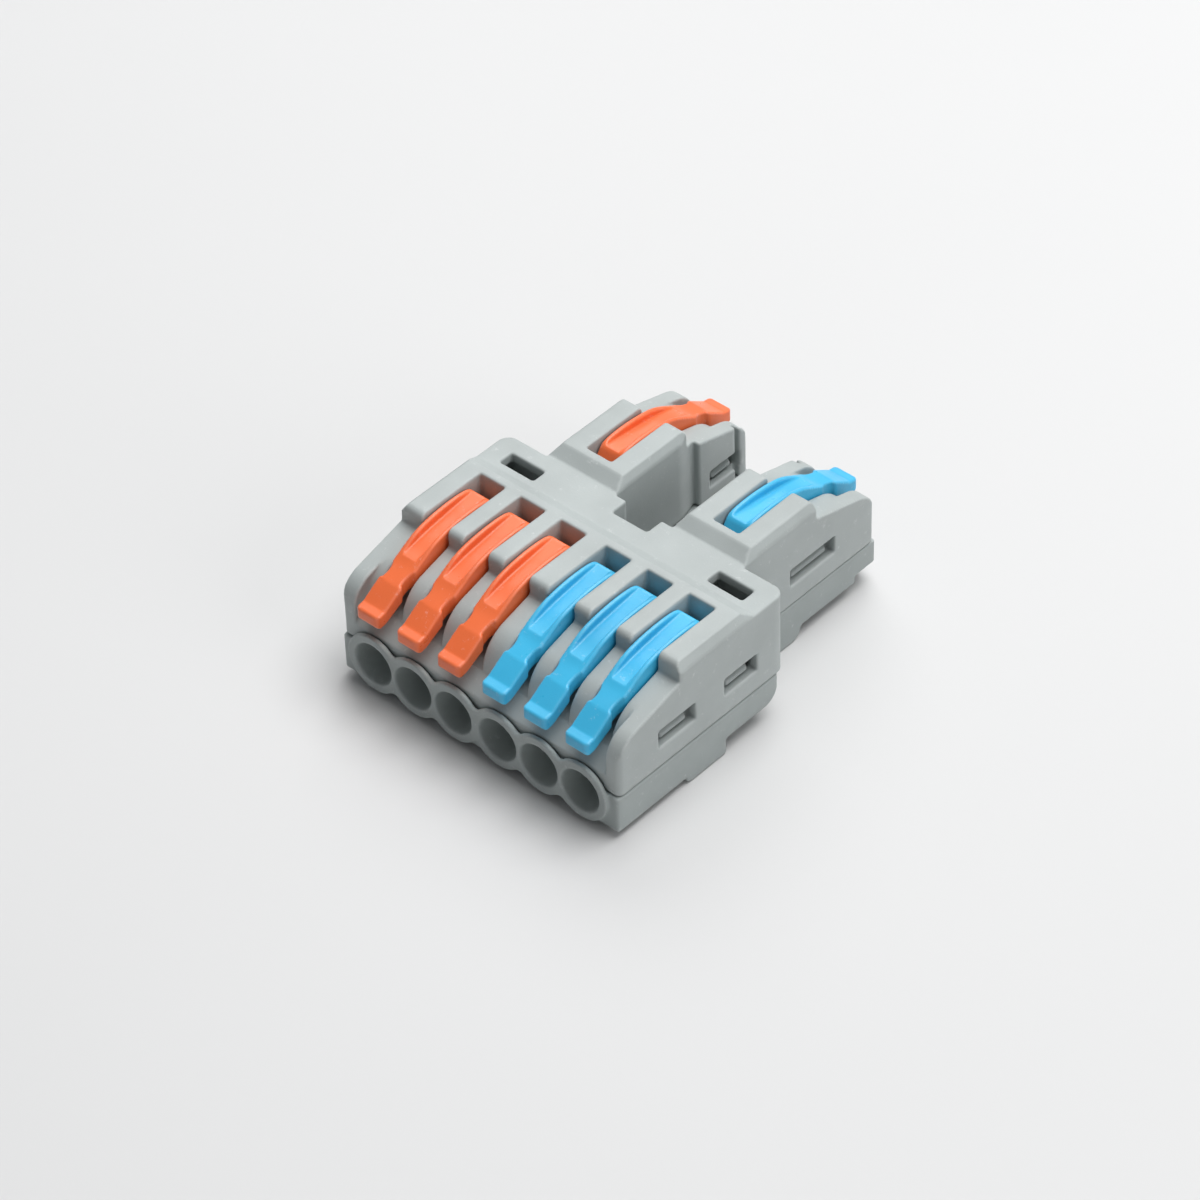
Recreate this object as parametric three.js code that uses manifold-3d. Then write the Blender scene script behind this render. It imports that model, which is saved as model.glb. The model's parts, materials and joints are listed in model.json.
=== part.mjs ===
// Two-pole lever wire connector: six ways at the front, two ways at the rear.
// Millimetres, +X across, +Y towards the rear ways, +Z up. The part rests on its foot bars at Z = 0.
import * as THREE from 'three';
import { mergeVertices } from 'three/addons/utils/BufferGeometryUtils.js';
import Module from 'manifold-3d';

const wasm = await Module();
wasm.setup();

// ---- Driving dimensions ----
const LENGTH = 42.5; // from the front funnel faces to the rear funnel faces
const WAY_PITCH = 5.0; // between neighbouring ways of one pole
const POLE_GAP = 0.46; // extra width of the wall between the two poles
const END_MARGIN = 4.27; // from an outermost way to the outer face of its cheek

const SEAM_Z = 4.9; // joint line between the two housings
const STRIP_Z = 14.1; // flat strip across the middle
const DECK_Z = 15.0; // raised deck around the lever slots
const LIP_Z = 6.8; // lower front edge of the apron
const WIRE_Z = 3.73; // axis of the wire funnels

const SLOT_HALF = 1.55; // half width of a lever slot
const SLOT_END_Y = 16.75; // closed end of a lever slot
const SHELL_FRONT_Y = 0.65; // front wall of the upper housing
const BASE_FRONT_Y = 0.45; // front wall of the base behind the ring plate
const DECK_FRONT_Y = 8.95; // nose of the raised deck
const DECK_REAR_Y = 17.6; // rear edge of the raised deck
const RAMP_REAR_Y = 19.0; // foot of the ramp behind the deck
const ROW_REAR_Y = 20.0; // where a row's walls end inside the strip
const DECK_BAND = 0.6; // width of the slanted band along a deck's long edges
const DECK_BAND_DROP = 1.12;
const GUARD_FRONT_Y = 2.5; // front of the low guards between the levers
const GUARD_SLOPE = 0.272; // fall of the guards towards the front
const GUARD_TOP_Z = 13.05; // top of the guards where they meet the deck
const CHEEK_WIDTH = 1.7; // end walls of a row, which stand further forward than the guards
const APRON_REAR_Z = 8.2; // apron height at the front of the guards
const BAY_FRONT_Y = 6.6; // front end of the room below the levers
const STRIP_REAR_Y = 23.3; // rear wall of the front body
const CORNER_RADIUS = 1.3; // rear corners of the strip
const SHELL_CORNER_RADIUS = 0.7; // upright front corners of the upper housing
const BASE_CORNER_RADIUS = 0.3; // upright front corners of the base
const NOTCH_HALF = 2.1; // half width of the notch between the rear blocks
const NOTCH_FRONT_Y = 21.3;
const TOP_SLOT_X = [10.6, 14.75]; // slots through the strip
const TOP_SLOT_Y = [19.85, 21.45];
const WALL = 1.2; // outer wall of the upper housing
const BASE_INSET = 0.06; // base side walls sit in by this much
const BASE_TOP_Z = 4.82; // top of the base walls
const BASE_REAR_Y = 22.2; // rear end of a row's base
const BEHIND_FOOT_Z = 1.75; // underside behind the foot bars
const BLOCK_TOP_Z = 6.7; // top of the funnel blocks
const BLOCK_END_Y = 6.3; // inner end of the funnel blocks
const PIT_END_Y = 15.6; // rear end of the room below a clamp
const PIT_FLOOR_Z = 1.75;
const PIT_SHELF_Y = 10.4; // where the pit floor steps up behind the wire end
const PIT_SHELF_Z = 2.9;
const HOLLOW_FLOOR_Z = 2.7; // floor of the hollows below the strip
const RECESS_X = 10.95; // shallow recess under the outer half of each rear end
const RECESS_Y = [39.2, LENGTH];
const RECESS_TOP_Z = 2.1;

const RING_RADIUS = 3.2; // rings of the front plate
const RING_FILLET = 0.5; // between neighbouring rings
const PLATE_DEPTH = 0.5; // thickness of the ring plate
const SLEEVE_RADIUS = 2.6; // round sleeve behind each ring
const SLEEVE_GAP = 0.15;
const RING_SIDES = 64; // facets round a sleeve
const MOUTH_RADIUS = 2.27;
const BORE_RADIUS = 1.75;
const FUNNEL_DEPTH = 3.0;

const PIVOT_Y = 13.0;
const PIVOT_Z = 11.9;
const LEVER_HALF = 1.4; // half width of a lever
const CAM_RADIUS = 3.2; // cam radius over the spring when the lever is open
const CAM_LOW_RADIUS = 1.9; // cam radius over the spring when the lever is closed
const PIN_RADIUS = 0.8;
const PIN_HALF = 1.8; // from the lever's middle to the end of a pivot pin
const FIT = 0.3; // clearance between parts that touch or turn

const STEEL = 0.35; // thickness of the clamp springs
const SPRING_HALF = 1.35;
const SPRING_LEG_Y = 7.45;
const BUSBAR_Z = 4.9;
const BUSBAR_THICKNESS = 0.8;
const BUSBAR_FRONT_Y = 8.4;
const BUSBAR_REAR_Y = 12.3;
const TONGUE_HALF = 1.3;
const FINGER_HALF = 0.75;
const FINGER_Y = 6.8;
const TONGUE_END_Y = 31; // rear end of the channel over a busbar's tongue

const LATCH_Z = [7.2, 9.2];
const GROOVE_DEPTH = 0.7; // grooves beside the inner latches
const INSIDE_Z = SEAM_Z - 1; // start of the cuts that open through the seam
const FAR = 60; // reach of a cut that runs out of the part
const CLEAR = 0.01; // small overrun that keeps faces from lying on each other

const LEFT_WAYS = [-2, -1, 0].map((step) => (step - 0.5) * WAY_PITCH - POLE_GAP / 2);
const RIGHT_WAYS = LEFT_WAYS.map((x) => -x).reverse();
const FRONT_WAYS = [...LEFT_WAYS, ...RIGHT_WAYS];
const REAR_WAYS = [LEFT_WAYS[1], RIGHT_WAYS[1]];
const HALF_WIDTH = FRONT_WAYS[5] + END_MARGIN;
const BLOCK_INNER_X = REAR_WAYS[1] - END_MARGIN;

// ---- Placement: the rear ways are the front ways turned round the middle of the part ----
const FRONT = new THREE.Matrix4();
const REAR = new THREE.Matrix4().makeRotationZ(Math.PI).setPosition(0, LENGTH, 0);
const ROWS = [[FRONT_WAYS, FRONT], [[REAR_WAYS[0]], REAR], [[REAR_WAYS[1]], REAR]];
const X_AXIS = new THREE.Vector3(1, 0, 0);
const Y_AXIS = new THREE.Vector3(0, 1, 0);
const Z_AXIS = new THREE.Vector3(0, 0, 1);

// ---- Solids from three.js geometry ----
function toSolid(geometry, place = FRONT) {
  const bare = geometry.clone().applyMatrix4(place);
  bare.deleteAttribute('normal');
  bare.deleteAttribute('uv');
  const merged = mergeVertices(bare);
  const vertProperties = new Float32Array(merged.attributes.position.array);
  const triVerts = new Uint32Array(merged.index.array);
  return new wasm.Manifold(new wasm.Mesh({ numProp: 3, vertProperties, triVerts }));
}

function toGeometry(solid) {
  const mesh = solid.getMesh();
  const geometry = new THREE.BufferGeometry();
  geometry.setAttribute('position', new THREE.BufferAttribute(mesh.vertProperties, 3));
  geometry.setIndex(new THREE.BufferAttribute(mesh.triVerts, 1));
  geometry.computeVertexNormals();
  return geometry;
}

const join = (solids) => solids.reduce((sum, solid) => sum.add(solid));
const cut = (body, tools) => tools.reduce((rest, tool) => rest.subtract(tool), body);

function box(x, y, z, place = FRONT) {
  const geometry = new THREE.BoxGeometry(x[1] - x[0], y[1] - y[0], z[1] - z[0]);
  geometry.translate((x[0] + x[1]) / 2, (y[0] + y[1]) / 2, (z[0] + z[1]) / 2);
  return toSolid(geometry, place);
}

function extrude(points, depth) {
  const shape = new THREE.Shape(points.map(([a, b]) => new THREE.Vector2(a, b)));
  return new THREE.ExtrudeGeometry(shape, { depth, bevelEnabled: false });
}

// An outline of [y, z] points, pulled along X.
function sidePrism(points, x, place = FRONT) {
  const geometry = extrude(points, x[1] - x[0]);
  geometry.applyMatrix4(new THREE.Matrix4().makeBasis(Y_AXIS, Z_AXIS, X_AXIS));
  return toSolid(geometry.translate(x[0], 0, 0), place);
}

// An outline of [x, z] points, pulled along Y.
function frontPrism(points, y, place = FRONT) {
  const geometry = extrude(points, y[1] - y[0]);
  geometry.applyMatrix4(new THREE.Matrix4().makeBasis(X_AXIS, Z_AXIS, Y_AXIS.clone().negate()));
  return toSolid(geometry.translate(0, y[1], 0), place);
}

// An outline of [x, y] points, pulled along Z.
function planPrism(points, z, place = FRONT) {
  return toSolid(extrude(points, z[1] - z[0]).translate(0, 0, z[0]), place);
}

// A round bar or cone along Y, centred on a funnel axis.
function round(x, y, radii, place = FRONT, sides = 48) {
  const geometry = new THREE.CylinderGeometry(radii[1], radii[0], y[1] - y[0], sides);
  return toSolid(geometry.translate(x, (y[0] + y[1]) / 2, WIRE_Z), place);
}

// Points of an arc, angles in degrees.
function arc(centre, radius, from, to, steps) {
  return Array.from({ length: steps + 1 }, (_, i) => {
    const angle = THREE.MathUtils.degToRad(from + ((to - from) * i) / steps);
    return [centre[0] + radius * Math.cos(angle), centre[1] + radius * Math.sin(angle)];
  });
}

// ---- Upper housing ----
const guardLine = (y) => GUARD_TOP_Z + GUARD_SLOPE * (y - DECK_FRONT_Y);
const SLOPE_DEG = THREE.MathUtils.radToDeg(Math.atan(GUARD_SLOPE));

// Round front of a guard or cheek: upright at frontY, then tangent to the sloping top.
function guardFront(frontY, radius) {
  const y = frontY + radius;
  const z = guardLine(y) - radius / Math.cos(Math.atan(GUARD_SLOPE));
  return arc([y, z], radius, 180, 90 + SLOPE_DEG, 16);
}

// Deck nose, deck, ramp and strip: the part of the side outline that every wall shares.
function deckOutline() {
  const noseRadius = 0.7;
  return [
    [DECK_FRONT_Y, GUARD_TOP_Z],
    ...arc([DECK_FRONT_Y + noseRadius, DECK_Z - noseRadius], noseRadius, 180, 90, 8),
    [DECK_REAR_Y, DECK_Z],
    [RAMP_REAR_Y, STRIP_Z],
    [ROW_REAR_Y, STRIP_Z],
    [ROW_REAR_Y, SEAM_Z],
  ];
}

function cheekOutline() {
  return [[SHELL_FRONT_Y, SEAM_Z], ...guardFront(SHELL_FRONT_Y, 3.0), ...deckOutline()];
}

function guardOutline() {
  return [
    [SHELL_FRONT_Y, SEAM_Z],
    [SHELL_FRONT_Y, LIP_Z],
    [GUARD_FRONT_Y, APRON_REAR_Z],
    ...guardFront(GUARD_FRONT_Y, 4.0),
    ...deckOutline(),
  ];
}

// A row's footprint with round front corners, to trim its outline with.
function rowPlan([low, high], frontY, radius, z, place) {
  const plan = [
    ...arc([low + radius, frontY + radius], radius, 180, 270, 8),
    ...arc([high - radius, frontY + radius], radius, 270, 360, 8),
    [high, FAR],
    [low, FAR],
  ];
  return planPrism(plan, z, place);
}

// The walls of one row of ways: guards in the middle and a cheek at each end.
function rowWalls(ways, place) {
  const low = ways[0] - END_MARGIN;
  const high = ways[ways.length - 1] + END_MARGIN;
  const guards = [low + CHEEK_WIDTH / 2, high - CHEEK_WIDTH / 2];
  const walls = join([
    sidePrism(guardOutline(), guards, place),
    sidePrism(cheekOutline(), [low, low + CHEEK_WIDTH], place),
    sidePrism(cheekOutline(), [high - CHEEK_WIDTH, high], place),
  ]);
  return walls.intersect(rowPlan([low, high], SHELL_FRONT_Y, SHELL_CORNER_RADIUS, [0, FAR], place));
}

// Slanted band along both long edges of a row's deck.
function deckChamfers(ways, place) {
  const edges = [ways[0] - END_MARGIN, ways[ways.length - 1] + END_MARGIN];
  return edges.map((x, end) => {
    const inward = end === 0 ? 1 : -1;
    const outside = x - 0.1 * inward;
    const triangle = [
      [x + DECK_BAND * inward, DECK_Z + CLEAR],
      [outside, DECK_Z + CLEAR],
      [outside, DECK_Z - DECK_BAND_DROP],
    ];
    return frontPrism(triangle, [DECK_FRONT_Y - 0.1, RAMP_REAR_Y - 0.1], place);
  });
}

// The slot of one way: over the apron at the front, open to the base behind it.
function waySlot(x, place) {
  const outline = [
    [SHELL_FRONT_Y - 0.1, LIP_Z - 0.05],
    [SHELL_FRONT_Y, LIP_Z],
    [GUARD_FRONT_Y, APRON_REAR_Z],
    [BAY_FRONT_Y, APRON_REAR_Z + 0.3],
    [BAY_FRONT_Y, INSIDE_Z],
    [SLOT_END_Y, INSIDE_Z],
    [SLOT_END_Y, FAR],
    [SHELL_FRONT_Y - 0.1, FAR],
  ];
  return sidePrism(outline, [x - SLOT_HALF, x + SLOT_HALF], place);
}

// Bearing for a lever's pivot pins, open below so that the pins snap in.
function pinSocket(x, place) {
  const radius = PIN_RADIUS + FIT;
  const outline = [
    [PIVOT_Y - radius, INSIDE_Z],
    [PIVOT_Y + radius, INSIDE_Z],
    ...arc([PIVOT_Y, PIVOT_Z], radius, 0, 180, 10),
  ];
  const half = PIN_HALF + FIT;
  return sidePrism(outline, [x - half, x + half], place);
}

// Room for the funnel block, and the openings in the front wall for the sleeves.
function funnelPocket(ways, place) {
  const side = END_MARGIN - WALL;
  const radius = SLEEVE_RADIUS + SLEEVE_GAP;
  const wallY = [-1, SHELL_FRONT_Y + WALL + 0.1];
  const last = ways[ways.length - 1];
  const roomX = [ways[0] - side, last + side];
  const roomY = [SHELL_FRONT_Y + WALL, BAY_FRONT_Y];
  return [
    box(roomX, roomY, [INSIDE_Z, BLOCK_TOP_Z + FIT], place),
    box([ways[0] - 1, last + 1], wallY, [INSIDE_Z, SEAM_Z + FIT], place),
    ...ways.map((x) => round(x, wallY, [radius, radius], place, RING_SIDES)),
  ];
}

// Low and high X of a span measured from a face into the part.
function inwardSpan(face, from, to) {
  return [face.x - from * face.side, face.x - to * face.side].sort((p, q) => p - q);
}

// A latch window through an outer wall, with the pocket that takes the base's tongue.
function latchWindow(face, y, z = LATCH_Z) {
  return [
    box(inwardSpan(face, -1, WALL + 0.1), y, z),
    box(inwardSpan(face, WALL, WALL + 1.0), [y[0] + FIT, y[1] - FIT], [INSIDE_Z, z[1]]),
  ];
}

const OUTER_FACES = [
  { x: HALF_WIDTH, side: 1 },
  { x: -HALF_WIDTH, side: -1 },
];
const REAR_OUTER_FACES = [
  { x: REAR_WAYS[1] + END_MARGIN, side: 1 },
  { x: REAR_WAYS[0] - END_MARGIN, side: -1 },
];
const REAR_INNER_FACES = [
  { x: BLOCK_INNER_X, side: -1 },
  { x: -BLOCK_INNER_X, side: 1 },
];
const LATCH_A_Y = [6.0, 10.9];
const LATCH_B_Y = [14.9, 19.3];
const LATCH_C_Y = [29.8, 36.1];
const LATCH_D_Y = [36.4, 40.6];
const LATCH_D_Z = [6.2, 8.2];
const LATCHES = [
  ...OUTER_FACES.flatMap((face) => [[face, LATCH_A_Y, LATCH_Z], [face, LATCH_B_Y, LATCH_Z]]),
  ...REAR_OUTER_FACES.map((face) => [face, LATCH_C_Y, LATCH_Z]),
  ...REAR_INNER_FACES.map((face) => [face, LATCH_D_Y, LATCH_D_Z]),
];
const GROOVES_Y = [[32.4, 34.8], [40.0, 40.5]];

// Plan of the flat strip, with round rear corners.
function stripPlan() {
  const x = HALF_WIDTH - CORNER_RADIUS;
  const y = STRIP_REAR_Y - CORNER_RADIUS;
  return [
    [-HALF_WIDTH, ROW_REAR_Y - 2],
    [HALF_WIDTH, ROW_REAR_Y - 2],
    ...arc([x, y], CORNER_RADIUS, 0, 90, 12),
    ...arc([-x, y], CORNER_RADIUS, 90, 180, 12),
  ];
}

// Upright grooves beside the inner latches of the rear blocks: a ramp that deepens, and a step.
function innerGrooves() {
  const [rampY, stepY] = GROOVES_Y;
  return REAR_INNER_FACES.flatMap((face) => {
    const outside = face.x + face.side;
    const deep = face.x - GROOVE_DEPTH * face.side;
    const ramp = [[outside, rampY[0]], [face.x, rampY[0]], [deep, rampY[1]], [outside, rampY[1]]];
    return [
      planPrism(ramp, [INSIDE_Z, FAR]),
      box(inwardSpan(face, -1, GROOVE_DEPTH), stepY, [INSIDE_Z, FAR]),
    ];
  });
}

function upperHousing() {
  const strip = planPrism(stripPlan(), [SEAM_Z, STRIP_Z]);
  const body = join([strip, ...ROWS.map(([ways, place]) => rowWalls(ways, place))]);
  const hollowZ = [INSIDE_Z, STRIP_Z - WALL];
  const channelZ = [INSIDE_Z, BUSBAR_Z + BUSBAR_THICKNESS + 0.4];
  const tools = ROWS.flatMap(([ways, place]) => [
    ...deckChamfers(ways, place),
    ...ways.flatMap((x) => [waySlot(x, place), pinSocket(x, place)]),
    ...funnelPocket(ways, place),
  ]);
  for (const pole of [LEFT_WAYS, RIGHT_WAYS]) {
    const half = TONGUE_HALF + FIT;
    const plateX = [pole[0] - SLOT_HALF, pole[2] + SLOT_HALF];
    tools.push(box(plateX, [BAY_FRONT_Y, BUSBAR_REAR_Y + FIT], channelZ));
    tools.push(box([pole[1] - half, pole[1] + half], [BUSBAR_REAR_Y - 1, TONGUE_END_Y], channelZ));
  }
  for (const side of [-1, 1]) {
    const across = (span) => span.map((x) => x * side).sort((p, q) => p - q);
    tools.push(box(across([9.9, HALF_WIDTH - WALL]), [17.9, STRIP_REAR_Y - WALL], hollowZ));
    tools.push(box(across(TOP_SLOT_X), TOP_SLOT_Y, [SEAM_Z, FAR]));
  }
  tools.push(box([-5.4, 5.4], [17.9, NOTCH_FRONT_Y - WALL], hollowZ));
  tools.push(box([-NOTCH_HALF, NOTCH_HALF], [NOTCH_FRONT_Y, STRIP_REAR_Y + 1], [0, FAR]));
  const windows = LATCHES.flatMap(([face, y, z]) => latchWindow(face, y, z));
  return cut(body, [...tools, ...windows, ...innerGrooves()]);
}

// ---- Base housing ----
const FRONT_PROFILE = { undersideZ: 0.75, footY: [9.6, 15.1] };
const REAR_PROFILE = { undersideZ: 1.3, footY: [11.1, 15.9] };

// Side outline of one row of the base, from the front wall to the middle of the part.
function baseOutline({ undersideZ, footY }) {
  const [front, rear] = footY;
  const toe = undersideZ;
  const heel = 0.35;
  const curve = 1.8;
  return [
    [BASE_FRONT_Y, undersideZ],
    [front, undersideZ],
    ...arc([front + toe, toe], toe, 180, 270, 6),
    ...arc([rear - heel, heel], heel, 270, 360, 6),
    [rear, BEHIND_FOOT_Z],
    ...arc([BASE_REAR_Y - curve, BEHIND_FOOT_Z + curve], curve, 270, 360, 10),
    [BASE_REAR_Y, BASE_TOP_Z],
    [BASE_FRONT_Y, BASE_TOP_Z],
  ];
}

// Front outline of the ring plate: one ring per way, with fillets where rings meet.
function plateOutline(ways) {
  const reach = RING_RADIUS + RING_FILLET;
  const lower = [];
  ways.forEach((x, i) => {
    const before = i > 0 ? Math.acos((x - ways[i - 1]) / 2 / reach) : 0;
    const after = i < ways.length - 1 ? Math.acos((ways[i + 1] - x) / 2 / reach) : 0;
    const from = 180 + THREE.MathUtils.radToDeg(before);
    const to = 360 - THREE.MathUtils.radToDeg(after);
    lower.push(...arc([x, 0], RING_RADIUS, from, to, 24));
    if (after > 0) {
      const middle = (x + ways[i + 1]) / 2;
      const drop = -reach * Math.sin(after);
      const turn = THREE.MathUtils.radToDeg(after);
      lower.push(...arc([middle, drop], RING_FILLET, 180 - turn, turn, 6).slice(1, -1));
    }
  });
  const upper = [...lower].reverse().map(([x, z]) => [x, -z]);
  return [...lower, ...upper.slice(1, -1)].map(([x, z]) => [x, z + WIRE_Z]);
}

// One row of the base: floor and walls, the funnel block, its sleeves and the ring plate.
function baseRow(ways, place) {
  const profile = place === FRONT ? FRONT_PROFILE : REAR_PROFILE;
  const first = ways[0];
  const last = ways[ways.length - 1];
  const outer = END_MARGIN - BASE_INSET;
  const inner = END_MARGIN - WALL - 0.27;
  const blockY = [SHELL_FRONT_Y + WALL + 0.25, BLOCK_END_Y];
  const sleeveY = [PLATE_DEPTH - 0.1, blockY[0] + 0.5];
  const x = [first - outer, last + outer];
  const body = sidePrism(baseOutline(profile), x, place);
  return join([
    body.intersect(rowPlan(x, BASE_FRONT_Y, BASE_CORNER_RADIUS, [-1, FAR], place)),
    box([first - inner, last + inner], blockY, [BASE_TOP_Z - 1, BLOCK_TOP_Z], place),
    ...ways.map((x) => round(x, sleeveY, [SLEEVE_RADIUS, SLEEVE_RADIUS], place, RING_SIDES)),
    frontPrism(plateOutline(ways), [0, PLATE_DEPTH], place),
  ]);
}

// A wire's way in: funnel, bore, and the pit below the clamp.
function wayCuts(x, place) {
  const pit = [
    [BLOCK_END_Y - CLEAR, PIT_FLOOR_Z],
    [PIT_SHELF_Y - 1.2, PIT_FLOOR_Z],
    [PIT_SHELF_Y, PIT_SHELF_Z],
    [PIT_END_Y, PIT_SHELF_Z],
    [PIT_END_Y, FAR],
    [BLOCK_END_Y - CLEAR, FAR],
  ];
  return [
    round(x, [-CLEAR, FUNNEL_DEPTH], [MOUTH_RADIUS, BORE_RADIUS], place),
    round(x, [-1, BLOCK_END_Y + 0.5], [BORE_RADIUS, BORE_RADIUS], place),
    sidePrism(pit, [x - SLOT_HALF, x + SLOT_HALF], place),
  ];
}

// A springy tongue on the base whose tooth snaps into a latch window.
function latchTongue(face, y, z) {
  const root = face.x - (WALL + FIT + CLEAR) * face.side;
  const tip = face.x - 0.55 * face.side;
  const low = z[0] + FIT;
  const tooth = [[root, z[1] - 0.35], [root, low], [tip, low], [tip, z[0] + 0.75]];
  const span = [y[0] + 0.7, y[1] - 0.7];
  const tongue = box(inwardSpan(face, WALL + FIT, WALL + 0.8), span, [BASE_TOP_Z - 0.5, z[1] - FIT]);
  return [tongue, frontPrism(tooth, span)];
}

// Hollows under the flat strip.
function baseHollows() {
  const z = [HOLLOW_FLOOR_Z, FAR];
  const y = [17.0, STRIP_REAR_Y - 2];
  return [
    box([9.9, 15.2], y, z),
    box([-15.2, -9.9], y, z),
    box([-5.4, 5.4], [17.0, NOTCH_FRONT_Y - WALL], z),
  ];
}

function baseHousing() {
  const body = join(ROWS.map(([ways, place]) => baseRow(ways, place)));
  const tools = ROWS.flatMap(([ways, place]) => ways.flatMap((x) => wayCuts(x, place)));
  const tongues = LATCHES.flatMap(([face, y, z]) => latchTongue(face, y, z));
  const shaped = cut(body, [
    ...tools,
    ...baseHollows(),
    box([-NOTCH_HALF, NOTCH_HALF], [NOTCH_FRONT_Y, STRIP_REAR_Y + 1], [-1, FAR]),
    box([RECESS_X, HALF_WIDTH], RECESS_Y, [-1, RECESS_TOP_Z]),
    box([-HALF_WIDTH, -RECESS_X], RECESS_Y, [-1, RECESS_TOP_Z]),
  ]);
  return join([shaped, ...tongues]);
}

// ---- Lever, drawn about its pivot with the finger tab towards -Y ----
// A smooth line through [y, z] points.
function spline(points, steps) {
  const curve = new THREE.SplineCurve(points.map(([a, b]) => new THREE.Vector2(a, b)));
  return curve.getPoints(steps).map((point) => [point.x, point.y]);
}

// The cam grows from its low radius underneath to the full radius behind the pivot.
function camOutline() {
  const steps = 20;
  return Array.from({ length: steps + 1 }, (_, i) => {
    const share = i / steps;
    const growth = THREE.MathUtils.smoothstep(share, 0, 1);
    const radius = THREE.MathUtils.lerp(CAM_LOW_RADIUS, CAM_RADIUS, growth);
    const angle = THREE.MathUtils.degToRad(190 + 170 * share);
    return [radius * Math.cos(angle), radius * Math.sin(angle)];
  });
}

const LEVER_TOP = [
  [2.2, 2.25],
  [1.8, 2.57],
  [1.0, 2.78],
  [-0.5, 2.88],
  [-2.0, 2.82],
  [-3.5, 2.66],
  [-4.9, 2.36],
  [-6.0, 1.92],
  [-7.3, 1.2],
  [-8.3, 0.66],
  [-9.8, 0.1],
  [-10.1, 0.0],
];
const SCOOP_FLOOR = [
  [2.3, 2.55],
  [0, 2.28],
  [-3.05, 1.92],
  [-4.8, 1.64],
  [-6.3, 1.3],
  [-7.4, 1.1],
];
const SCOOP_HALF = 0.9;
const WAIST = [
  [1.4, -8.2],
  [1.26, -8.4],
  [1.13, -8.75],
  [1.08, -9.2],
  [1.12, -9.75],
];
const TAB_Y = -10.05; // where the finger tab begins
const TAB_END_Y = -13.35;
const TAB_CORNER = 0.5;

function leverOutline() {
  return [
    ...camOutline(),
    ...arc([0, 0], CAM_RADIUS, 4, 16, 3),
    [2.75, 1.45],
    ...spline(LEVER_TOP, 44),
    [-12.3, -1.42],
    [-13.05, -1.56],
    ...arc([TAB_END_Y + 0.3, -1.86], 0.3, 90, 180, 5).slice(1),
    ...arc([TAB_END_Y + 0.5, -2.55], 0.5, 180, 270, 6),
    [-12.2, -2.95],
    [-9.6, -1.6],
    [-7.6, -0.9],
    [-3.4, -0.1],
  ];
}

// The scoop in the lever's top: its floor runs from the cam to the root of the tab.
function leverScoop() {
  const floor = spline(SCOOP_FLOOR, 24);
  return sidePrism([...floor, [-7.7, 1.3], [-7.7, 5], [2.3, 5]], [-SCOOP_HALF, SCOOP_HALF]);
}

// Plan of what is cut away at the waist and at the tab's corner, on the +X side.
function leverSideCuts() {
  const corner = [LEVER_HALF - TAB_CORNER, TAB_END_Y + TAB_CORNER];
  const round = arc(corner, TAB_CORNER, 0, -90, 8);
  return [
    [[2, TAB_Y], [2, WAIST[0][1]], ...WAIST, [LEVER_HALF, TAB_Y]],
    [[2, corner[1]], ...round, [corner[0], TAB_END_Y - 1], [2, TAB_END_Y - 1]],
  ];
}

function lever() {
  const body = sidePrism(leverOutline(), [-LEVER_HALF, LEVER_HALF]);
  const pins = new THREE.CylinderGeometry(PIN_RADIUS, PIN_RADIUS, 2 * PIN_HALF, 24).rotateZ(Math.PI / 2);
  const cuts = [-1, 1].flatMap((side) =>
    leverSideCuts().map((plan) => planPrism(plan.map(([x, y]) => [x * side, y]), [-5, 5])),
  );
  return toGeometry(cut(body.add(toSolid(pins)), [leverScoop(), ...cuts]));
}

// ---- Clamp spring: fixed leg, loop, top leg, and clamping leg with its window ----
function springPath() {
  const fixedZ = BUSBAR_Z + BUSBAR_THICKNESS + 0.1 + STEEL / 2;
  const loop = 1.3;
  return [
    [8.8, fixedZ],
    ...arc([13.2, fixedZ + loop], loop, -90, 90, 10),
    ...arc([SPRING_LEG_Y + 0.9, 8.5], 0.9, 80, 180, 6),
    [SPRING_LEG_Y, 2.0],
  ];
}

// A strip of constant thickness along a line of points.
function ribbon(points, thickness) {
  const path = points.map(([y, z]) => new THREE.Vector2(y, z));
  const sides = path.map((point, i) => {
    const before = path[Math.max(i - 1, 0)];
    const after = path[Math.min(i + 1, path.length - 1)];
    const along = after.clone().sub(before).normalize();
    return new THREE.Vector2(-along.y, along.x).multiplyScalar(thickness / 2);
  });
  const left = path.map((point, i) => point.clone().add(sides[i]));
  const right = path.map((point, i) => point.clone().sub(sides[i])).reverse();
  return [...left, ...right].map((point) => [point.x, point.y]);
}

function spring() {
  const strip = sidePrism(ribbon(springPath(), STEEL), [-SPRING_HALF, SPRING_HALF]);
  const window = box([-1.0, 1.0], [SPRING_LEG_Y - 1, SPRING_LEG_Y + 0.6], [2.6, 6.1]);
  return toGeometry(strip.subtract(window));
}

// ---- Busbar: plate across three front ways, one finger in each way, and a tongue to the rear way ----
function busbar(pole) {
  const z = [BUSBAR_Z, BUSBAR_Z + BUSBAR_THICKNESS];
  const fingerRear = LENGTH - FINGER_Y;
  return toGeometry(join([
    box([pole[0] - TONGUE_HALF, pole[2] + TONGUE_HALF], [BUSBAR_FRONT_Y, BUSBAR_REAR_Y], z),
    box([pole[1] - TONGUE_HALF, pole[1] + TONGUE_HALF], [BUSBAR_REAR_Y - 1, LENGTH - BUSBAR_FRONT_Y], z),
    ...pole.map((x) => box([x - FINGER_HALF, x + FINGER_HALF], [FINGER_Y, BUSBAR_FRONT_Y + 1], z)),
    box([pole[1] - FINGER_HALF, pole[1] + FINGER_HALF], [LENGTH - BUSBAR_FRONT_Y - 1, fingerRear], z),
  ]));
}

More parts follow.
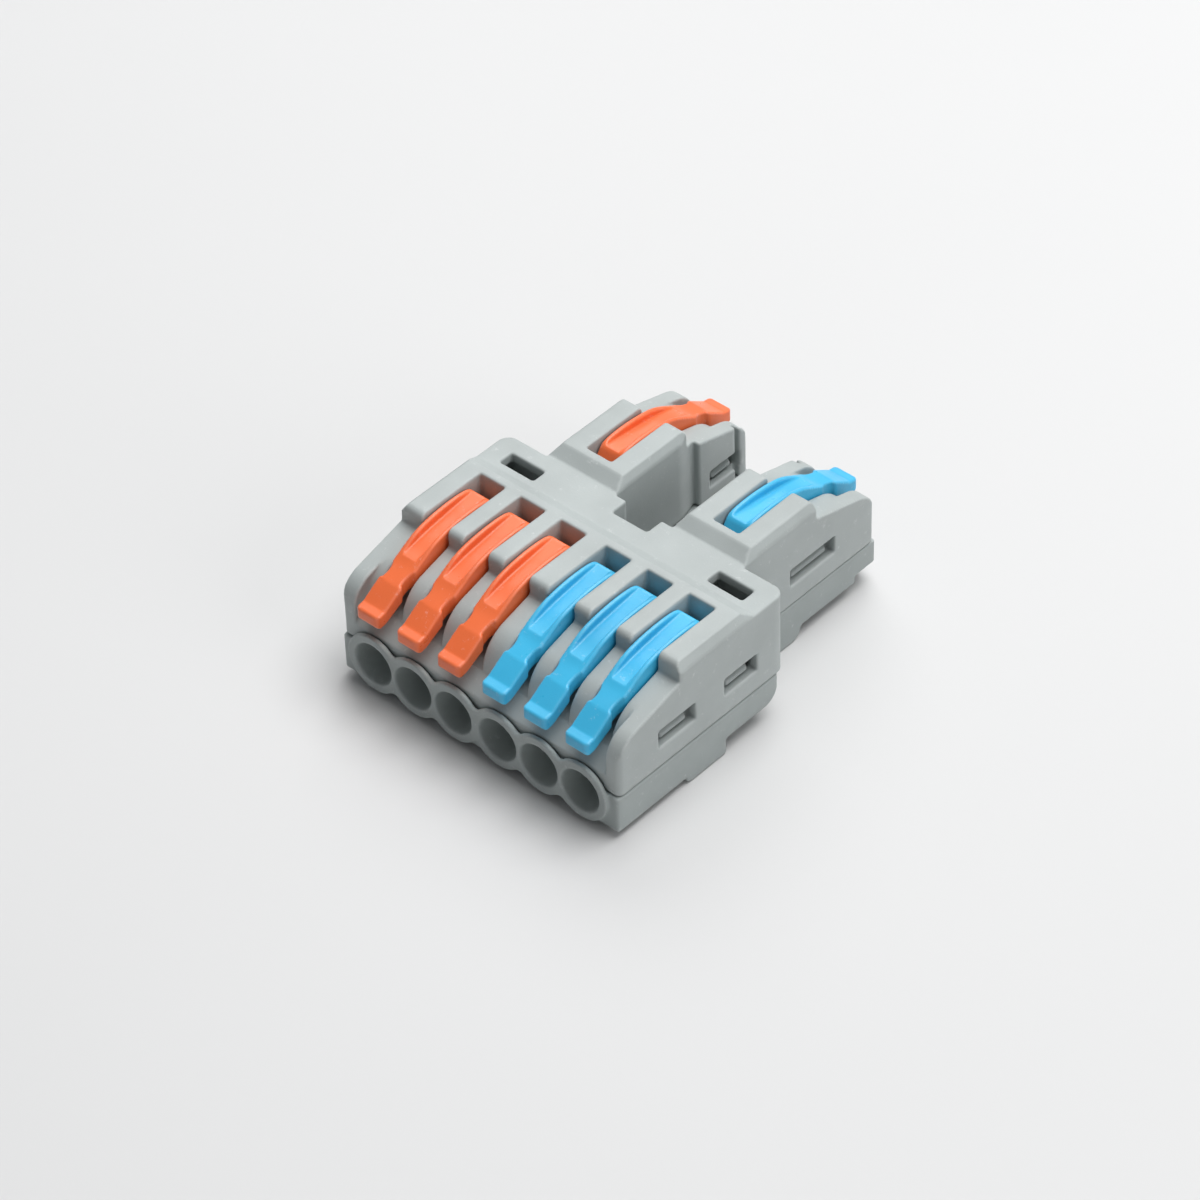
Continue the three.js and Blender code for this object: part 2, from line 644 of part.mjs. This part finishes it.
// ---- Materials ----
const grey = new THREE.MeshStandardMaterial({ color: 0xa9b0af, roughness: 0.55, metalness: 0 });
const greyBase = new THREE.MeshStandardMaterial({ color: 0x9ba3a3, roughness: 0.58, metalness: 0 });
const orange = new THREE.MeshStandardMaterial({ color: 0xf0562a, roughness: 0.38, metalness: 0 });
const blue = new THREE.MeshStandardMaterial({ color: 0x1ea6e6, roughness: 0.38, metalness: 0 });
const steel = new THREE.MeshStandardMaterial({ color: 0xb9bcbf, roughness: 0.3, metalness: 1 });
const tinnedCopper = new THREE.MeshStandardMaterial({ color: 0xc9c6bd, roughness: 0.35, metalness: 1 });

// ---- Assembly ----
const connector = new THREE.Group();
connector.position.y = -LENGTH / 2;

function place(name, geometry, material, parent = connector) {
  const mesh = new THREE.Mesh(geometry, material);
  mesh.name = name;
  parent.add(mesh);
  return mesh;
}

place('upper_housing', toGeometry(upperHousing()), grey);
place('base_housing', toGeometry(baseHousing()), greyBase);
place('busbar_orange_pole', busbar(LEFT_WAYS), tinnedCopper);
place('busbar_blue_pole', busbar(RIGHT_WAYS), tinnedCopper);

const frontRow = new THREE.Group();
const rearRow = new THREE.Group();
rearRow.position.y = LENGTH;
rearRow.rotation.z = Math.PI;
connector.add(frontRow, rearRow);

const leverGeometry = lever();
const springGeometry = spring();

function fitWay(row, x, name, material) {
  place(`lever_${name}`, leverGeometry, material, row).position.set(x, PIVOT_Y, PIVOT_Z);
  place(`clamp_spring_${name}`, springGeometry, steel, row).position.x = x;
}

LEFT_WAYS.forEach((x, i) => fitWay(frontRow, x, `front_orange_${i + 1}`, orange));
RIGHT_WAYS.forEach((x, i) => fitWay(frontRow, x, `front_blue_${i + 1}`, blue));
fitWay(rearRow, -REAR_WAYS[0], 'rear_orange', orange);
fitWay(rearRow, -REAR_WAYS[1], 'rear_blue', blue);

export default connector;
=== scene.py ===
import json
import math

import bpy
import numpy as np
import openvdb as vdb
from mathutils import Matrix, Vector


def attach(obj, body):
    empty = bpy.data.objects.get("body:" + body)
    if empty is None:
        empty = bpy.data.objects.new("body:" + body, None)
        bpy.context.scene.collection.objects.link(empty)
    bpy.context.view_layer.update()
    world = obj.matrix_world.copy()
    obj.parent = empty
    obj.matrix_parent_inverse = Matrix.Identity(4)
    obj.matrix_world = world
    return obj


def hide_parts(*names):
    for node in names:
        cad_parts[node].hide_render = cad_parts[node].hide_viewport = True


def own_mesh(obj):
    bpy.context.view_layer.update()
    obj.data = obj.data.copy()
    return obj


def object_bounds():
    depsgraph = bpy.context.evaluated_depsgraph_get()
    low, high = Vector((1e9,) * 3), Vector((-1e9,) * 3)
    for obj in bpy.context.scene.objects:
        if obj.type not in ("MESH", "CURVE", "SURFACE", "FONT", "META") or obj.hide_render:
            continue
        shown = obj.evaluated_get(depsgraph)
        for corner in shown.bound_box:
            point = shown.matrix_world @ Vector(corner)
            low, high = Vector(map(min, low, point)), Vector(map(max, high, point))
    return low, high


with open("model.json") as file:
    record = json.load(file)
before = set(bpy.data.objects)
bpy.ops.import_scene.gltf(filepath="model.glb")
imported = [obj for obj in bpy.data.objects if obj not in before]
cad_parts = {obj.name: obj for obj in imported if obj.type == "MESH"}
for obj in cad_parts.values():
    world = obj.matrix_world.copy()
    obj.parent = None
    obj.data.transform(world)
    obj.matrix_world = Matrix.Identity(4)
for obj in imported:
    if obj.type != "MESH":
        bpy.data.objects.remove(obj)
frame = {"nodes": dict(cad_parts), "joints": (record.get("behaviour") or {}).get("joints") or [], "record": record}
cad_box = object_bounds()

MM = 0.001
NODES = frame["nodes"]
BODY_OF = {node: body for body, nodes in frame["record"]["behaviour"]["bodies"].items() for node in nodes}

# ---- Softened meshes: every outer edge is rounded and every inner corner filleted ----
COARSE = 1.0
HOUSING_VOXEL = 0.08 * MM * COARSE
HOUSING_EDGE = 0.15 * MM
HOUSING_FILLET = 0.1 * MM
HOUSING_ADAPTIVITY = 0.11
LEVER_VOXEL = 0.05 * MM * COARSE
LEVER_EDGE = 0.19 * MM
LEVER_FILLET = 0.12 * MM
LEVER_ADAPTIVITY = 0.03
METAL_VOXEL = 0.05 * MM * COARSE
METAL_EDGE = 0.08 * MM
BUSBAR_ADAPTIVITY = 0.3
SPRING_ADAPTIVITY = 0.2


def node_surface(node):
    """Points and triangles of a CAD node, with the points that touch merged."""
    mesh = NODES[node].data
    mesh.calc_loop_triangles()
    points = np.empty(len(mesh.vertices) * 3, np.float32)
    mesh.vertices.foreach_get("co", points)
    corners = np.empty(len(mesh.loop_triangles) * 3, np.int32)
    mesh.loop_triangles.foreach_get("vertices", corners)
    points = points.reshape(-1, 3)
    keys = np.round(points / (0.0001 * MM)).astype(np.int64)
    _, first, merged = np.unique(keys, axis=0, return_index=True, return_inverse=True)
    return points[first], merged.ravel()[corners].reshape(-1, 3).astype(np.uint32)


def level_set(surface, reach):
    points, triangles, quads = surface
    parts = {"triangles": triangles, "quads": quads}
    parts = {kind: faces for kind, faces in parts.items() if faces is not None and len(faces)}
    return vdb.FloatGrid.createLevelSetFromPolygons(points.astype(np.float32), halfWidth=reach, **parts)


def offset(surface, distance):
    """The surface moved outwards by a distance in voxels."""
    return level_set(surface, abs(distance) + 2).convertToPolygons(distance, 0.0)


def sample(field, at):
    """Values between the voxels of a field, by linear interpolation."""
    low = np.clip(np.floor(at).astype(int), 0, np.array(field.shape) - 2)
    part = at - low
    total = np.zeros(len(at))
    for i in (0, 1):
        for j in (0, 1):
            for k in (0, 1):
                weight = np.prod(np.where((i, j, k), part, 1 - part), axis=1)
                total += weight * field[low[:, 0] + i, low[:, 1] + j, low[:, 2] + k]
    return total


def shape_of(grid, points):
    """Unit normals, and how sharply the surface bends, from the distance field."""
    low, high = (np.array(corner) for corner in grid.evalActiveVoxelBoundingBox())
    low = low - 2
    field = np.full(high - low + 3, grid.background, np.float32)
    grid.copyToArray(field, ijk=tuple(int(i) for i in low))
    at = points - low
    middle = sample(field, at)
    slopes = np.empty((len(points), 3))
    bend = np.zeros(len(points))
    for axis, step in enumerate(np.eye(3)):
        ahead, behind = sample(field, at + step), sample(field, at - step)
        slopes[:, axis] = ahead - behind
        bend += ahead + behind - 2 * middle
    return slopes / np.linalg.norm(slopes, axis=1)[:, None], bend


def soften(points, triangles, voxel, fillet, edge, adaptivity):
    """Fillets inner corners, then rounds outer edges. Gives points, faces, normals and bend."""
    surface = (points / voxel, triangles, None)
    if fillet:
        surface = offset(surface, fillet / voxel)
    surface = offset(surface, -(fillet + edge) / voxel)
    grid = level_set(surface, edge / voxel + 3)
    points, triangles, quads = grid.convertToPolygons(edge / voxel, adaptivity)
    normals, bend = shape_of(grid, points)
    return points * voxel, [*triangles.tolist(), *quads.tolist()], normals, bend * edge / voxel


def piece(name, shape, place=None):
    """A mesh object from a softened shape, with smooth normals and its bend as an attribute."""
    points, faces, normals, bend = shape
    mesh = bpy.data.meshes.new(name)
    mesh.from_pydata(points, [], faces)
    corners = np.array(faces[0][:3])
    a, b, c = points[corners]
    if np.dot(np.cross(b - a, c - a), normals[corners[0]]) < 0:
        mesh.flip_normals()
    mesh.shade_smooth()
    mesh.normals_split_custom_set_from_vertices(normals)
    mesh.attributes.new("bend", "FLOAT", "POINT").data.foreach_set("value", bend.astype(np.float32))
    if place is not None:
        mesh.transform(place)
    made = bpy.data.objects.new(name, mesh)
    bpy.context.scene.collection.objects.link(made)
    return made


# ---- Materials: noise scales are per metre ----
FLOW_SCALE = 130
SPECK_SCALE = 5200
RUB_GLINT_SCALE = 900
SCUFF_GLINT_SCALE = 1100
SHINE_SCALE = 700
GRAIN_SCALE = 6500
GRAIN_DEPTH = 0.012 * MM
WAVE_SCALE = 420
WAVE_DEPTH = 0.03 * MM
ROLL_SCALE = 900
ROLL_DEPTH = 0.006 * MM
SMUDGE_SCALE = 300


def node_of(tree, kind, inputs=(), **settings):
    made = tree.nodes.new(kind)
    for key, value in settings.items():
        setattr(made, key, value)
    for socket, value in inputs:
        if isinstance(value, bpy.types.NodeSocket):
            tree.links.new(value, made.inputs[socket])
        else:
            made.inputs[socket].default_value = value
    return made


def noise(tree, where, scale, detail=2.0, roughness=0.5):
    inputs = [("Vector", where), ("Scale", scale), ("Detail", detail), ("Roughness", roughness)]
    return node_of(tree, "ShaderNodeTexNoise", inputs).outputs["Fac"]


def remap(tree, value, low, high, to_low, to_high):
    inputs = [
        ("Value", value),
        ("From Min", low),
        ("From Max", high),
        ("To Min", to_low),
        ("To Max", to_high),
    ]
    return node_of(tree, "ShaderNodeMapRange", inputs, clamp=True).outputs["Result"]


def mixed(tree, share, first, second):
    made = node_of(tree, "ShaderNodeMix", data_type="RGBA")
    tree.links.new(share, made.inputs["Factor"])
    for socket, value in ((made.inputs[6], first), (made.inputs[7], second)):
        if isinstance(value, bpy.types.NodeSocket):
            tree.links.new(value, socket)
        else:
            socket.default_value = (*value, 1.0)
    return made.outputs[2]


def scaled(colour, by):
    return tuple(min(1.0, channel * by) for channel in colour)


def surface_tree(name):
    material = bpy.data.materials.new(name)
    material.use_nodes = True
    tree = material.node_tree
    where = node_of(tree, "ShaderNodeTexCoord").outputs["Object"]
    return material, tree, tree.nodes["Principled BSDF"], where


def plastic(name, colour, roughness, grain, edge_wear_and_highlight_amount):
    """Moulded nylon: slight flow shading, fine grain, small scuffs with painted highlight specks, paler worn edges
    with a painted edge highlight, and painted shade in the inner corners.
    """
    material, tree, shader, where = surface_tree(name)
    bend = node_of(tree, "ShaderNodeAttribute", attribute_name="bend").outputs["Fac"]
    flow = remap(tree, noise(tree, where, FLOW_SCALE, 3), 0.35, 0.65, 0.0, 1.0)
    tone = mixed(tree, flow, scaled(colour, 0.94), scaled(colour, 1.05))
    speck = remap(tree, noise(tree, where, SPECK_SCALE, 2), 0.58, 0.72, 0.0, 0.25)
    tone = mixed(tree, speck, tone, scaled(colour, 0.86))
    # Pale outer edges: partly wear, partly a painted highlight along the edges, mottled by noise.
    rub_and_glint_mottle = noise(tree, where, RUB_GLINT_SCALE, 3)
    wear_and_edge_highlight = node_of(
        tree,
        "ShaderNodeMath",
        [(0, remap(tree, bend, 0.25, 1.1, 0.0, edge_wear_and_highlight_amount)), (1, remap(tree, rub_and_glint_mottle, 0.3, 0.6, 0.5, 1.0))],
        operation="MULTIPLY",
    ).outputs[0]
    pale = tuple(channel + (1 - channel) * 0.45 for channel in colour)
    tone = mixed(tree, wear_and_edge_highlight, tone, pale)
    # Pale specks: small scuffs that also serve as painted highlight glints.
    scuffs_and_glints = remap(tree, noise(tree, where, SCUFF_GLINT_SCALE, 6, 0.75), 0.6, 0.69, 0.0, 0.35)
    tone = mixed(tree, scuffs_and_glints, tone, pale)
    # Painted shade: inner corners and creases are darkened towards 0.6 of the colour where the bend is negative.
    tone = mixed(tree, remap(tree, bend, -0.3, -1.2, 0.0, 0.22), tone, scaled(colour, 0.6))
    tree.links.new(tone, shader.inputs["Base Color"])
    shine = remap(tree, noise(tree, where, SHINE_SCALE, 4), 0.3, 0.7, roughness - 0.05, roughness + 0.07)
    tree.links.new(shine, shader.inputs["Roughness"])
    shader.inputs["Specular IOR Level"].default_value = 0.45
    fine = noise(tree, where, GRAIN_SCALE, 2, 0.6)
    texture = node_of(
        tree,
        "ShaderNodeBump",
        [("Strength", grain), ("Distance", GRAIN_DEPTH), ("Height", fine)],
    )
    wave = noise(tree, where, WAVE_SCALE, 1)
    sink = node_of(
        tree,
        "ShaderNodeBump",
        [
            ("Strength", 0.35),
            ("Distance", WAVE_DEPTH),
            ("Height", wave),
            ("Normal", texture.outputs["Normal"]),
        ],
    )
    tree.links.new(sink.outputs["Normal"], shader.inputs["Normal"])
    return material


def rolled_metal(name, colour, roughness):
    """Rolled strip: fine lines along the strip, smudges, and brighter cut edges."""
    material, tree, shader, where = surface_tree(name)
    bend = node_of(tree, "ShaderNodeAttribute", attribute_name="bend").outputs["Fac"]
    stretched = node_of(tree, "ShaderNodeMapping", [("Vector", where), ("Scale", (9.0, 1.0, 1.0))])
    lines = noise(tree, stretched.outputs["Vector"], ROLL_SCALE, 4, 0.6)
    tone = mixed(tree, lines, scaled(colour, 0.82), scaled(colour, 1.12))
    tone = mixed(tree, remap(tree, bend, 0.2, 1.0, 0.0, 0.5), tone, scaled(colour, 1.3))
    tree.links.new(tone, shader.inputs["Base Color"])
    smudge = remap(tree, noise(tree, where, SMUDGE_SCALE, 3), 0.3, 0.7, roughness - 0.08, roughness + 0.12)
    tree.links.new(smudge, shader.inputs["Roughness"])
    shader.inputs["Metallic"].default_value = 1.0
    rolled = node_of(
        tree,
        "ShaderNodeBump",
        [("Strength", 0.25), ("Distance", ROLL_DEPTH), ("Height", lines)],
    )
    tree.links.new(rolled.outputs["Normal"], shader.inputs["Normal"])
    return material


SLOTS = {
    "housing_grey": plastic("housing_grey_nylon", (0.395, 0.43, 0.425), 0.5, 0.8, 0.2),
    "base_grey": plastic("base_grey_nylon", (0.335, 0.37, 0.365), 0.52, 0.8, 0.2),
    "lever_orange": plastic("lever_orange_nylon", (0.86, 0.165, 0.05), 0.32, 0.55, 0.1),
    "lever_blue": plastic("lever_blue_nylon", (0.05, 0.46, 0.75), 0.32, 0.55, 0.1),
    "spring_steel": rolled_metal("spring_strip_steel", (0.62, 0.63, 0.64), 0.3),
    "tinned_copper": rolled_metal("tinned_copper_plate", (0.72, 0.7, 0.66), 0.34),
}


def finish_piece(made, node):
    """Puts a piece in place of its CAD node, in that node's material slot."""
    slot = next(part["material_slot"] for part in frame["record"]["subparts"] if part["node"] == node)
    made.data.materials.append(SLOTS[slot])
    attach(made, BODY_OF[node])
    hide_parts(node)
    return made


# ---- Housings ----
for node in ("upper_housing", "base_housing"):
    shape = soften(*node_surface(node), HOUSING_VOXEL, HOUSING_FILLET, HOUSING_EDGE, HOUSING_ADAPTIVITY)
    finish_piece(piece(f"{node}_moulding", shape), node)

for node in ("busbar_orange_pole", "busbar_blue_pole"):
    shape = soften(*node_surface(node), METAL_VOXEL, 0, METAL_EDGE, BUSBAR_ADAPTIVITY)
    finish_piece(piece(f"{node}_plate", shape), node)

# ---- Levers and springs: one shape of each, placed at every way ----
FIRST_WAY = "front_orange_1"
JOINT_OF = {joint["name"].removeprefix("hinge_"): joint for joint in frame["joints"]}

lever_surface = node_surface(f"lever_{FIRST_WAY}")
lever_shape = soften(*lever_surface, LEVER_VOXEL, LEVER_FILLET, LEVER_EDGE, LEVER_ADAPTIVITY)
spring_surface = node_surface(f"clamp_spring_{FIRST_WAY}")
spring_shape = soften(*spring_surface, METAL_VOXEL, 0, METAL_EDGE, SPRING_ADAPTIVITY)
first_pivot = Matrix.Translation(JOINT_OF[FIRST_WAY]["pos_m"])

for way, joint in JOINT_OF.items():
    turn = Matrix.Rotation(math.pi if way.startswith("rear") else 0.0, 4, "Z")
    place = Matrix.Translation(joint["pos_m"]) @ turn @ first_pivot.inverted()
    finish_piece(piece(f"lever_{way}_moulding", lever_shape, place), f"lever_{way}")
    spring = finish_piece(piece(f"clamp_spring_{way}_strip", spring_shape, place), f"clamp_spring_{way}")
    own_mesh(spring)

# ---- Floor, light and camera ----
FLOOR_HALF = 1.5
FLOOR_GAP = 0.02 * MM  # keeps the floor off the flat feet
floor_mesh = bpy.data.meshes.new("floor")
floor_z = cad_box[0].z - FLOOR_GAP
floor_corners = [(x * FLOOR_HALF, y * FLOOR_HALF, floor_z) for x, y in ((-1, -1), (1, -1), (1, 1), (-1, 1))]
floor_mesh.from_pydata(floor_corners, [], [(0, 1, 2, 3)])
floor = bpy.data.objects.new("floor", floor_mesh)
bpy.context.scene.collection.objects.link(floor)
paper, paper_tree, paper_shader, paper_where = surface_tree("pale_floor")
paper_tone = mixed(paper_tree, noise(paper_tree, paper_where, 8, 2), (0.64, 0.64, 0.64), (0.67, 0.67, 0.67))
paper_tree.links.new(paper_tone, paper_shader.inputs["Base Color"])
paper_shader.inputs["Roughness"].default_value = 0.9
floor_mesh.materials.append(paper)

world = bpy.data.worlds.new("studio")
world.use_nodes = True
world.node_tree.nodes["Background"].inputs["Color"].default_value = (0.95, 0.975, 1.0, 1.0)
world.node_tree.nodes["Background"].inputs["Strength"].default_value = 0.2
bpy.context.scene.world = world
bpy.context.scene.view_settings.view_transform = "Standard"


def soft_light(name, direction, distance, size, power):
    lamp = bpy.data.lights.new(name, "AREA")
    lamp.shape = "DISK"
    lamp.size = size
    lamp.energy = power
    made = bpy.data.objects.new(name, lamp)
    bpy.context.scene.collection.objects.link(made)
    made.location = Vector(direction).normalized() * distance
    made.rotation_mode = "QUATERNION"
    made.rotation_quaternion = Vector(direction).to_track_quat("Z", "Y")


soft_light("key", (0.15, 0.3, 1.0), 0.6, 0.5, 3.6)
soft_light("back", (-0.6, 0.62, 0.8), 0.6, 0.45, 1.3)
soft_light("side", (1.0, 0.1, 0.5), 0.7, 0.4, 0.95)

CAMERA_AZIMUTH = 43.32
CAMERA_ELEVATION = 42.0
CAMERA_ROLL = -2.0
CAMERA_TARGET = Vector((-0.32, -3.9, 7.0)) * MM
CAMERA_DISTANCE = 456.07 * MM
CAMERA_LENS = 149.55
azimuth, elevation = math.radians(CAMERA_AZIMUTH), math.radians(CAMERA_ELEVATION)
right = Vector((math.cos(azimuth), math.sin(azimuth), 0))
back = Vector(
    (math.sin(azimuth) * math.cos(elevation), -math.cos(azimuth) * math.cos(elevation), math.sin(elevation))
)
right = Matrix.Rotation(math.radians(CAMERA_ROLL), 3, back) @ right
camera_data = bpy.data.cameras.new("camera")
camera_data.sensor_width = 36.0
camera_data.lens = CAMERA_LENS
camera_data.clip_start = 0.05
camera_data.clip_end = 5.0
camera = bpy.data.objects.new("camera", camera_data)
bpy.context.scene.collection.objects.link(camera)
turned = Matrix((right, back.cross(right), back)).transposed().to_4x4()
camera.matrix_world = Matrix.Translation(CAMERA_TARGET + back * CAMERA_DISTANCE) @ turned
bpy.context.scene.camera = camera
